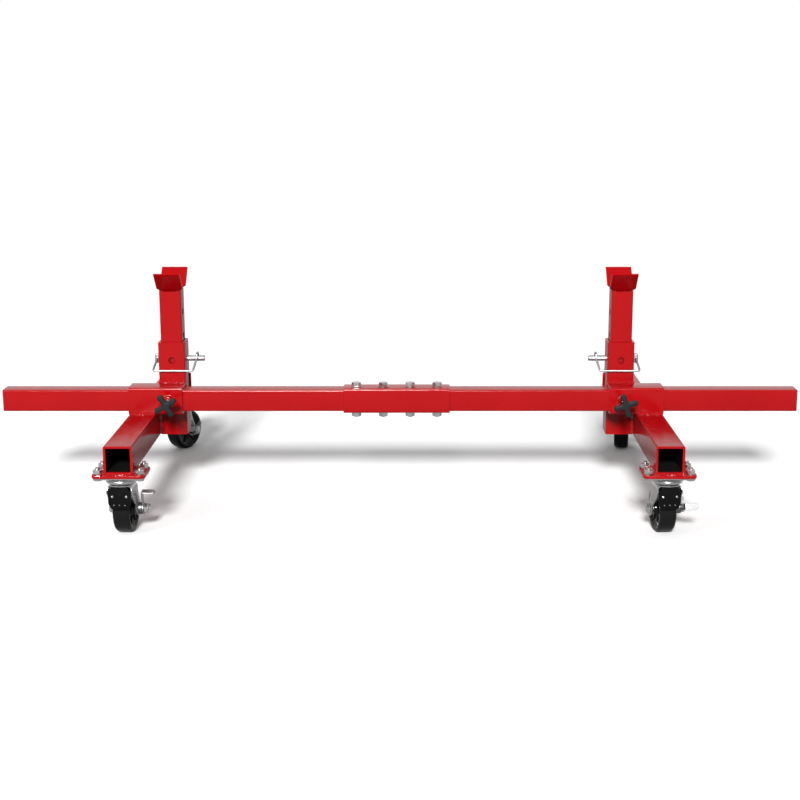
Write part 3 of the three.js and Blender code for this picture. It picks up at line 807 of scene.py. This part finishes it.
def build_bail(side):
    """Spring wire from the eye in the pin's head, across the front of the socket, to its hook."""
    body = f"{side}_pin_bail"
    low, high = box_of(f"{side}_pin_bail")
    hinge = joint_point(f"{side}_bail_lift")
    outward = JOINTS[f"{side}_pin_pull"]["axis"][0]
    radius = 2.5
    front = low.y + radius + 0.05
    drop = low.z + radius + 0.05
    hook_x = (low.x if outward > 0 else high.x) + outward * radius
    outer_x = (high.x if outward > 0 else low.x) - outward * radius
    crown = high.z - radius
    reach = 10.5
    points = [
        (hinge.x, hinge.y + 10, hinge.z), (hinge.x, hinge.y - 10, hinge.z),
        (hinge.x, hinge.y - 14, hinge.z - 2.5), (outer_x, front, drop), (hook_x + outward * 7, front, drop),
        (hook_x, hinge.y - reach - 3, hinge.z + 1), (hook_x, hinge.y - reach + 1, crown - 1),
        (hook_x, hinge.y + reach - 2, crown - 1), (hook_x, hinge.y + reach + 1, hinge.z - 9),
    ]
    path = filleted_path(points, 4.6, 0.8)
    add_piece(f"{side}_bail_wire", wire(path, radius), SATIN, body, [f"{side}_pin_bail"], crease=50)


# ---------------------------------------------------------------- clamp screw and knob

def build_clamp(side):
    screw_low, screw_high = box_of(f"{side}_clamp_screw")
    centre = (screw_low + screw_high) / 2
    length = screw_high.y - screw_low.y
    shape = moved(thread(5.95, BOLT_PITCH, 0, length, 1.5), (centre.x, screw_low.y, centre.z), TO_Y)
    add_piece(f"{side}_clamp_thread", shape, ZINC, f"{side}_clamp_screw", [f"{side}_clamp_screw"])

    low, high = box_of(f"{side}_star_knob")
    hub_length = high.y - low.y
    lobe_angle = {"left": 31.5, "right": 18.0}[side]
    arm, tip, fillet, tip_reach = 5.6, 6.9, 5.4, 28.0
    outline = []
    for quarter in range(4):
        turn = Matrix.Rotation(math.radians(90 * quarter), 2)
        lobe = arc((tip_reach - tip, 0), tip, -90, 90, 14)
        waist = arc((arm + fillet, arm + fillet), fillet, 270, 180, 7)
        outline += [tuple(turn @ Vector(p)) for p in lobe + waist]
    face = knob_body(outline, 12.0)
    hub = lathe([(6.3, 12), (10.4, 12), (11, 12.6), (10.2, hub_length - 0.6), (9.6, hub_length),
                 (6.3, hub_length)], 48, closed=True)
    cap = lathe([(6.2, 0.5), (6.4, -0.1), (5.8, -0.5)], 40)
    to_face = MIRRORED_TO_Y @ Matrix.Rotation(math.radians(lobe_angle), 3, "Z")
    place = (centre.x, low.y + 0.55, centre.z)
    body = f"{side}_star_knob"
    shape = merged([moved(face, place, to_face), moved(cap, place, to_face)])
    bore = moved(lathe([(6.3, 0), (6.3, 60)], 48), (centre.x, screw_low.y - 0.3, centre.z), MIRRORED_TO_Y)
    add_piece(f"{side}_knob_star", shape, KNOB, body, [f"{side}_star_knob"], [bore])
    add_piece(f"{side}_knob_hub", moved(hub, place, to_face), KNOB, body)


def knob_body(outline, depth):
    """The star's outline given full, rounded edges."""
    edge, steps = 3.0, 6
    front = []
    for k in range(steps, -1, -1):
        a = math.pi / 2 * k / steps
        front.append([(x, y, edge * (1 - math.sin(a))) for x, y in inset(outline, edge * (1 - math.cos(a)))])
    back = [[(x, y, depth - z) for x, y, z in ring] for ring in reversed(front)]
    return skin(front + back)


# ---------------------------------------------------------------- caster mounting

BOLT_X, BOLT_Y, BOLT_BORE = 45.0, 26.0, 5.6


def bolt_places(centre):
    return [(centre.x + sx * BOLT_X, centre.y + sy * BOLT_Y) for sx in (-1, 1) for sy in (-1, 1)]


def build_caster_mount(side, end):
    body = f"{side}_carriage"
    name = f"{side}_{end}"
    low, high = box_of(f"{name}_mount_plate")
    centre = (low + high) / 2
    outline = round_rectangle(high.x - low.x, high.y - low.y, 13, 8)
    shape = moved(plate(outline, high.z - low.z, 0.8), (centre.x, centre.y, low.z))
    places = bolt_places(centre)
    holes = [bored(BOLT_BORE, (x, y, low.z), 2) for x, y in places]
    add_piece(f"{name}_base_plate", shape, PAINT, body, [f"{name}_mount_plate"], holes)

    leg_low, leg_high = box_of(f"{side}_leg_tube")
    sign = -1 if end == "front" else 1
    leg_end = leg_low.y if end == "front" else leg_high.y
    plate_inner = high.y if end == "front" else low.y
    top = high.z
    beads = []
    for x, lean in ((leg_low.x, (-1, 0, 0)), (leg_high.x, (1, 0, 0))):
        ends = (x, leg_end - sign * 2, top), (x, plate_inner + sign * 3, top)
        beads.append(weld(*ends, lean, UP, 4.2, round(x)))
    ends = (leg_low.x + 1, leg_end, top), (leg_high.x - 1, leg_end, top)
    beads.append(weld(*ends, (0, sign, 0), UP, 5.6, round(leg_end)))
    y = leg_end + sign * 6
    drops = spatter([((leg_low.x, y, top), (leg_high.x, y, top))], UP, 3.2, 26,
                    round(leg_end) + round(leg_low.x))
    add_piece(f"{name}_base_welds", merged(beads + [drops]), WELD_PAINT, body, crease=60)
    build_caster_plate(side, end, body, centre, places, top)


def build_caster_plate(side, end, body, centre, places, paint_top):
    """The caster's own stamped plate and race, and the bolts that clamp it under the red plate."""
    name = f"{side}_{end}"
    low, high = box_of(f"{name}_caster_plate")
    top = box_of(f"{name}_mount_plate")[0].z - 0.3
    thick = 3.5
    outline = round_rectangle(high.x - low.x, high.y - low.y, 9, 7)
    holes = [bored(BOLT_BORE, (x, y, top), 2) for x, y in places]
    shape = moved(plate(outline, thick, 0.7), (centre.x, centre.y, top - thick))
    add_piece(f"{name}_top_plate", shape, STAMPED, body, [f"{name}_caster_plate"], holes)

    race_bottom = 122.0
    race_top = top - thick
    race = lathe([(9, race_bottom + 1.2), (24.2, race_bottom + 1.2), (26.4, race_bottom),
                  (28.0, race_bottom + 0.8), (28.8, race_bottom + 2.6), (28.6, race_top - 2.4),
                  (29.3, race_top - 0.9), (30.4, race_top - 0.05), (9, race_top - 0.05)], 72, closed=True)
    add_piece(f"{name}_upper_race", moved(race, (centre.x, centre.y, 0)), ZINC, body)

    rng = random.Random(len(name) + round(centre.x))
    for i, (x, y) in enumerate(places):
        turn = Matrix.Rotation(rng.uniform(0, math.pi / 3), 3, "Z")
        base = Vector((x, y, 0))
        seat = paint_top + 0.1
        lock = washer(8.6, 5.3, seat, 1.8)
        nut_base = seat + 1.85
        nut_height = 8.3
        head = moved(hex_head(17, 3.6), base + UP * (top - thick - 0.05),
                     turn @ Matrix.Rotation(math.pi, 3, "X"))
        shank = moved(rod(4.95, top - thick - 0.5, nut_base + nut_height - 0.5, 0.2), base)
        tip_start = nut_base + nut_height - 1
        tip = moved(thread(4.9, 1.5, 0, high.z - tip_start, 1.0), base + UP * tip_start)
        add_piece(f"{name}_plate_bolt_{i + 1}", merged([head, shank, tip]), ZINC, body)
        add_piece(f"{name}_lock_washer_{i + 1}", moved(lock, base), STAMPED, body)
        nut = moved(hex_nut(17, nut_height, 4.8), base + UP * nut_base, turn)
        add_piece(f"{name}_plate_nut_{i + 1}", nut, ZINC, body)


# ---------------------------------------------------------------- casters

FORK_HALF, FORK_SHEET = 28.5, 3.0
ROCKER_DEPTH, ROCKER_SHEET = 11.0, 2.5
CROWN_TOP = 117.0
AXLE_BOSS, AXLE_BORE = 15.5, 6.4


def build_caster(side, end):
    """The swivelling part is built with the kingpin on the Z axis and the wheel trailing along +Y."""
    name = f"{side}_{end}"
    kingpin = joint_point(f"{name}_swivel")
    axle = joint_point(f"{name}_wheel_roll")
    roll = JOINTS[f"{name}_wheel_roll"]["axis"]
    yaw = math.atan2(roll[1], roll[0])
    place = Matrix.Translation((kingpin.x, kingpin.y, 0)) @ Matrix.Rotation(yaw, 4, "Z")
    trail = math.hypot(axle.x - kingpin.x, axle.y - kingpin.y)
    wheel_low, wheel_high = box_of(f"{name}_wheel")
    radius = (wheel_high.z - wheel_low.z) / 2
    swivel = f"{name}_swivel"

    cup = lathe([(8, 117.9), (24, 117.9), (28.5, 118.0), (30.8, 118.6), (32.2, 119.9), (32.85, 121.6),
                 (32.9, 123.2), (32.4, 125.0), (31.4, 126.6), (30.2, 127.6), (29.6, 127.4), (29.75, 123.0),
                 (28.5, 121.6), (8, 121.5)], 80, closed=True)
    add_piece(f"{name}_swivel_cup", cup, ZINC, swivel, [f"{name}_swivel_ring"], place=place)
    nut = moved(hex_nut(19, 7.5, 5.2), (0, 0, CROWN_TOP - 4 - 7.6))
    rivet = lathe([(5.0, 121), (5.1, 104.5), (4.2, 103.6)], 40)
    add_piece(f"{name}_kingpin", merged([nut, rivet]), ZINC, swivel, place=place)

    add_piece(f"{name}_fork_stamping", fork_shape(trail, axle.z), STAMPED, swivel, [f"{name}_fork"],
              [bored(AXLE_BORE, (0, trail, axle.z), 0)], place, crease=45)
    at_axle = place @ Matrix.Translation((0, trail, axle.z))
    build_wheel(name, radius, at_axle)
    build_axle(name, swivel, at_axle)
    build_brake(name, swivel, at_axle, place)


def fork_shape(trail, axle_z):
    """A strip bent into an inverted U: a leg, a round crown under the swivel and the other leg. Each
    ring of the strip is a cut across it, and its front and back edges give the fork its side view."""
    bend = 11.0
    half = FORK_HALF - FORK_SHEET / 2
    crown_z = CROWN_TOP - FORK_SHEET / 2
    bottom = axle_z - AXLE_BOSS
    crown_radius = 31.5
    front_reach, back_reach = 26.0, 27.0

    leg_levels = [bottom + AXLE_BOSS * (1 - math.cos(math.radians(a))) for a in range(8, 91, 8)]
    leg_levels += [axle_z + (crown_z - bend - axle_z) * k / 14 for k in range(15)]
    stations = [(Vector((-half, 0, z)), Vector((-1, 0, 0))) for z in leg_levels]
    for k in range(1, 9):
        a = math.radians(90 * k / 8)
        out = Vector((-math.cos(a), 0, math.sin(a)))
        stations.append((Vector((-half + bend, 0, crown_z - bend)) + out * bend, out))
    flat = half - bend
    stations += [(Vector((-flat + flat * k / 6, 0, crown_z)), UP.copy()) for k in range(1, 7)]
    mirrored = [(Vector((-p.x, 0, p.z)), Vector((-n.x, 0, n.z))) for p, n in reversed(stations[:-1])]

    def edges(p):
        """Front and back limits along Y of the strip at this height or place on the crown."""
        if p.z < axle_z:
            half_chord = math.sqrt(max(0.5, AXLE_BOSS**2 - (axle_z - p.z) ** 2))
            return trail - half_chord, trail + half_chord
        t = min(1, (p.z - axle_z) / (crown_z - bend - axle_z))
        ease = t * t * (3 - 2 * t)
        front = (trail - AXLE_BOSS) * (1 - ease) - front_reach * ease
        back = (trail + AXLE_BOSS) * (1 - t) + back_reach * t
        if p.z > crown_z - bend:
            chord = math.sqrt(max(0, crown_radius**2 - p.x**2))
            s = min(1, (p.z - crown_z + bend) / bend)
            front = -front_reach * (1 - s) - max(chord, 20) * s
            back = back_reach * (1 - s) + max(chord, 20) * s
        return front, back

    across = 14
    rings = []
    for p, n in stations + mirrored:
        front, back = edges(p)
        up_leg = min(1, max(0, (p.z - axle_z - 6) / 14)) * min(1, max(0, (crown_z - 14 - p.z) / 14))
        outer, inner = [], []
        for k in range(across + 1):
            t = k / across
            y = front + (back - front) * t
            rib = 1.5 * up_leg * max(0, 1 - ((t - 0.5) / 0.24) ** 2) ** 1.5
            edge = 0.5 if k in (0, across) else 0
            flange = 1.6 * up_leg * (max(0, 1 - t / 0.12) ** 2 + max(0, 1 - (1 - t) / 0.12) ** 2)
            lift = rib - flange
            outer.append(p + n * (FORK_SHEET / 2 - edge + lift) + Vector((0, y, 0)))
            inner.append(p + n * (-FORK_SHEET / 2 + edge + lift) + Vector((0, y, 0)))
        rings.append(outer + inner[::-1])
    return skin(rings)


def build_wheel(name, radius, at_axle):
    half, hub, bore = 19.0, 24.5, AXLE_BORE
    body = f"{name}_wheel"
    shoulder = arc((radius - 7.0, half - 7.0), 7.0, 0, 62, 8)
    outer = shoulder + [(radius - 9.5, half - 0.9), (radius - 11.0, half - 1.6)]
    face = [(radius - 12.5, half - 4.2), (radius - 15, half - 5.4), (19.5, half - 6.2), (16.8, half - 5.2),
            (15.6, half - 2.5), (15.0, half + 1.2), (13.8, half + 2.0), (11.5, half + 2.2),
            (11.2, half + 1.2)]
    top = outer + face
    lower = [(r, -z) for r, z in reversed(top)]
    profile = lower + [(radius, 0.0)] + top + lower[:1]
    spin = moved(lathe(profile, 96, closed=True), turn=TO_X)
    ribs = []
    for k in range(6):
        for sign in (-1, 1):
            rib = plate(round_rectangle(21, 3.2, 1.4, 3), 3.4, 0.7)
            rib = moved(rib, (27.5, 0, (half - 6.4) if sign > 0 else -(half - 6.4) - 3.4))
            ribs.append(moved(rib, turn=TO_X @ Matrix.Rotation(math.radians(60 * k), 3, "Z")))
    add_piece(f"{name}_tyre", merged([spin] + ribs), WHEEL, body, [body], place=at_axle, crease=28)
    bearing = merged([
        lathe([(bore, -hub), (9.2, -hub), (9.6, -hub + 0.5), (9.6, hub - 0.5), (9.2, hub), (bore, hub)], 48,
              closed=True),
        lathe([(9.7, -half - 1.4), (11.1, -half - 1.4), (11.1, half + 1.4), (9.7, half + 1.4)], 48,
              closed=True),
    ])
    add_piece(f"{name}_hub_bush", moved(bearing, turn=TO_X), ZINC, body, place=at_axle)


def build_axle(name, swivel, at_axle):
    """Axle bolt: head on one side of the fork, nut outside the brake rocker on the other."""
    head_x = FORK_HALF + 0.3
    nut_x = head_x + ROCKER_DEPTH + 0.6
    head = moved(hex_head(BOLT_FLATS, 6.6), (-head_x - 0.2, 0, 0), TO_LEFT)
    shank = moved(rod(5.95, -head_x - 1, nut_x + 4, 0.2), turn=TO_X)
    tip = moved(thread(5.9, BOLT_PITCH, nut_x + 3, nut_x + 8.9, 1.2), turn=TO_X)
    add_piece(f"{name}_axle", merged([head, shank, tip]), ZINC, swivel, [f"{name}_axle_bolt"], place=at_axle)
    nut = moved(hex_nut(BOLT_FLATS, 6.8, 5.8), (nut_x, 0, 0), TO_X)
    add_piece(f"{name}_axle_nut", nut, ZINC, swivel, place=at_axle)


def build_brake(name, swivel, at_axle, place):
    """A stamped rocker with two tabs turns a cam beside the fork; its shoe hangs ahead of the wheel."""
    lever = f"{name}_brake_lever"
    face = FORK_HALF + 0.3
    arm_x = face + ROCKER_DEPTH - ROCKER_SHEET
    turn = Matrix.Rotation(-math.radians(JOINTS[f"{name}_brake_press"]["range_deg"][0]), 4, "X")
    at_lever = at_axle @ turn
    hub = lathe([(6.4, face), (12.4, face), (13, face + 0.6), (13, face + 7.4), (12.2, face + 8.2),
                 (6.4, face + 8.2)], 56, closed=True)
    add_piece(f"{name}_brake_cam", moved(hub, turn=TO_X), DARK_STEEL, lever, place=at_lever)
    disc = lathe([(6.5, arm_x), (12.2, arm_x), (12.7, arm_x + 0.5), (12.7, arm_x + 1.9),
                  (12.2, arm_x + 2.4), (6.5, arm_x + 2.4)], 56, closed=True)
    tab_lean = Matrix.Rotation(math.radians(18), 3, "X")
    rising = moved(brake_arm(2, 43, 31.9, 7.5), (arm_x, 0, 0), tab_lean)
    short_tab = moved(brake_arm(-6, 1.75, 12.4, 7.4), (arm_x, 19.5, 0))
    back = plate(rounded_outline([(0, -11.9, 5), (26.9, -11.9, 6), (26.9, 0.5, 1.5), (0, 2.9, 2)]),
                 ROCKER_SHEET, 0.5)
    sheets = [moved(disc, turn=TO_X), rising, short_tab, moved(back, (arm_x, 0, 0), TO_X)]
    add_piece(f"{name}_brake_rocker", merged(sheets), SATIN, lever, [lever], place=at_lever, crease=40)

    shoe_front, shoe_thick = -26.4, 3.4
    outline = rounded_outline([(-15, 113, 4), (15, 113, 4), (23.5, 104, 6), (25, 94, 8), (24, 75, 9),
                               (18, 63.5, 4), (-18, 63.5, 4), (-24, 75, 9), (-25, 94, 8), (-23.5, 104, 6)])
    shoe = moved(plate(outline, shoe_thick, 0.9), (0, shoe_front + shoe_thick, 0), TO_FRONT)
    add_piece(f"{name}_brake_shoe", shoe, SHOE, swivel, place=place)
    rivet = lathe([(2.7, -0.6), (2.8, 0.3), (2.2, 1.2), (1.2, 1.7)], 24)
    spot = lathe([(1.3, -0.6), (1.3, 0.2), (0.8, 0.6)], 16)
    heads = [moved(rivet, (x, shoe_front, 91.5), TO_FRONT) for x in (-15, 15)]
    heads += [moved(spot, (x, shoe_front, 73), TO_FRONT) for x in (-11.8, 0, 11.8)]
    add_piece(f"{name}_shoe_rivets", merged(heads), ZINC, swivel, place=place)


def brake_arm(start, height, tab, half_width):
    """A sheet arm that rises in the YZ plane to the middle of its tab, which is bent outwards (+X)."""
    sheet = ROCKER_SHEET
    top = height + sheet / 2
    path = subdivided(filleted_path([(0, 0, start), (0, 0, top), (tab, 0, top)], 4.0, 0.6), 1.2)
    rings = []
    total = len(path) - 1
    for i, p in enumerate(path):
        ahead = (path[min(i + 1, total)] - path[max(i - 1, 0)]).normalized()
        normal = Vector((ahead.z, 0, -ahead.x))
        to_tip = (path[-1] - p).length
        half = half_width
        if to_tip < half:
            half = math.sqrt(max(1.0, half**2 - (half - to_tip) ** 2))
        half = half * (1.0 if p.x > 1 else 0.86)
        e = 0.5
        rings.append([p + Vector((0, y, 0)) + normal * d for y, d in (
            (-half, e), (-half, sheet - e), (-half + e, sheet), (half - e, sheet),
            (half, sheet - e), (half, e), (half - e, 0), (-half + e, 0))])
    return skin(rings)


# ---------------------------------------------------------------- stage

def build_stage():
    half = 40000
    corners = [(-half, -half, 0), (half, -half, 0), (half, half, 0), (-half, half, 0)]
    floor = solid_object("floor", (corners, [(0, 1, 2, 3)]))
    floor.data.transform(Matrix.Scale(MM, 4))
    material, tree, shader = shader_of("studio_floor")
    ray = add_node(tree, "ShaderNodeLightPath")
    tone = ramp(tree, ray.outputs["Is Camera Ray"], [(0.0, (0.34, 0.34, 0.34)), (1.0, (0.90, 0.90, 0.90))])
    tree.links.new(tone, shader.inputs["Base Color"])
    shader.inputs["Roughness"].default_value = 0.9
    shader.inputs["Specular IOR Level"].default_value = 0.1
    floor.data.materials.append(material)


def add_area(name, place, aim, size, energy):
    data = bpy.data.lights.new(name, "AREA")
    data.shape = "RECTANGLE"
    data.size, data.size_y = size
    data.energy = energy
    light = bpy.data.objects.new(name, data)
    bpy.context.scene.collection.objects.link(light)
    light.location = place
    light.rotation_euler = (Vector(aim) - Vector(place)).to_track_quat("-Z", "Y").to_euler()


def build_light():
    sun_strength, sun_spread, sun_tilt, sun_turn = 5.2, 10.5, 60.5, -5
    world = bpy.data.worlds.new("studio")
    bpy.context.scene.world = world
    world.use_nodes = True
    tree = world.node_tree
    background = tree.nodes["Background"]
    place = add_node(tree, "ShaderNodeTexCoord")
    split = add_node(tree, "ShaderNodeSeparateXYZ")
    tree.links.new(place.outputs["Generated"], split.inputs["Vector"])
    shade = ramp(tree, spread(tree, split.outputs["Y"], 0, 1, -1, 1),
                 [(0.0, (0.16, 0.16, 0.16)), (0.42, (0.22, 0.22, 0.22)), (0.66, (0.42, 0.42, 0.42)),
                  (0.85, (0.85, 0.85, 0.85))])
    tree.links.new(shade, background.inputs["Color"])
    background.inputs["Strength"].default_value = 0.9
    # behind the floor's far edge the view is plain white, as the floor is
    white = add_node(tree, "ShaderNodeBackground")
    white.inputs["Color"].default_value = (1, 1, 1, 1)
    ray = add_node(tree, "ShaderNodeLightPath")
    mix = add_node(tree, "ShaderNodeMixShader")
    tree.links.new(ray.outputs["Is Camera Ray"], mix.inputs["Fac"])
    tree.links.new(background.outputs["Background"], mix.inputs[1])
    tree.links.new(white.outputs["Background"], mix.inputs[2])
    tree.links.new(mix.outputs["Shader"], tree.nodes["World Output"].inputs["Surface"])
    sun = bpy.data.lights.new("key", "SUN")
    sun.energy = sun_strength
    sun.angle = math.radians(sun_spread)
    key = bpy.data.objects.new("key", sun)
    bpy.context.scene.collection.objects.link(key)
    key.rotation_euler = (math.radians(sun_tilt), 0, math.radians(sun_turn))
    add_area("overhead", (0.2, 1.0, 3.4), (0, 0, 0.3), (4.5, 1.4), 6)
    add_area("window", (-1.9, -1.9, 1.7), (-0.5, 0, 0.3), (0.9, 0.9), 16)


def build_camera():
    """The view of a person standing a few metres in front, looking slightly down at the bar."""
    pitch, aside, distance, rise, focal = 0.225, 0.0443, 3.444, 0.7555, 1.9005
    bar_low, bar_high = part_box("bar_left")
    bar_y, bar_z = (bar_low.y + bar_high.y) / 2, (bar_low.z + bar_high.z) / 2
    data = bpy.data.cameras.new("camera")
    camera = bpy.data.objects.new("camera", data)
    bpy.context.scene.collection.objects.link(camera)
    camera.location = (aside, bar_y - distance, bar_z + rise)
    camera.rotation_euler = (math.pi / 2 - pitch, 0, 0)
    data.sensor_width = 36
    data.lens = focal * data.sensor_width
    data.shift_x, data.shift_y = -0.0241, 0.0153
    data.clip_end = 200
    bpy.context.scene.camera = camera


build_crossbar()
for side in SIDES:
    build_cradle_frame(side)
    build_post(side)
    build_pin(side)
    build_bail(side)
    build_clamp(side)
    for end in ENDS:
        build_caster_mount(side, end)
        build_caster(side, end)
build_stage()
build_light()
build_camera()
bpy.context.scene.view_settings.view_transform = "Standard"
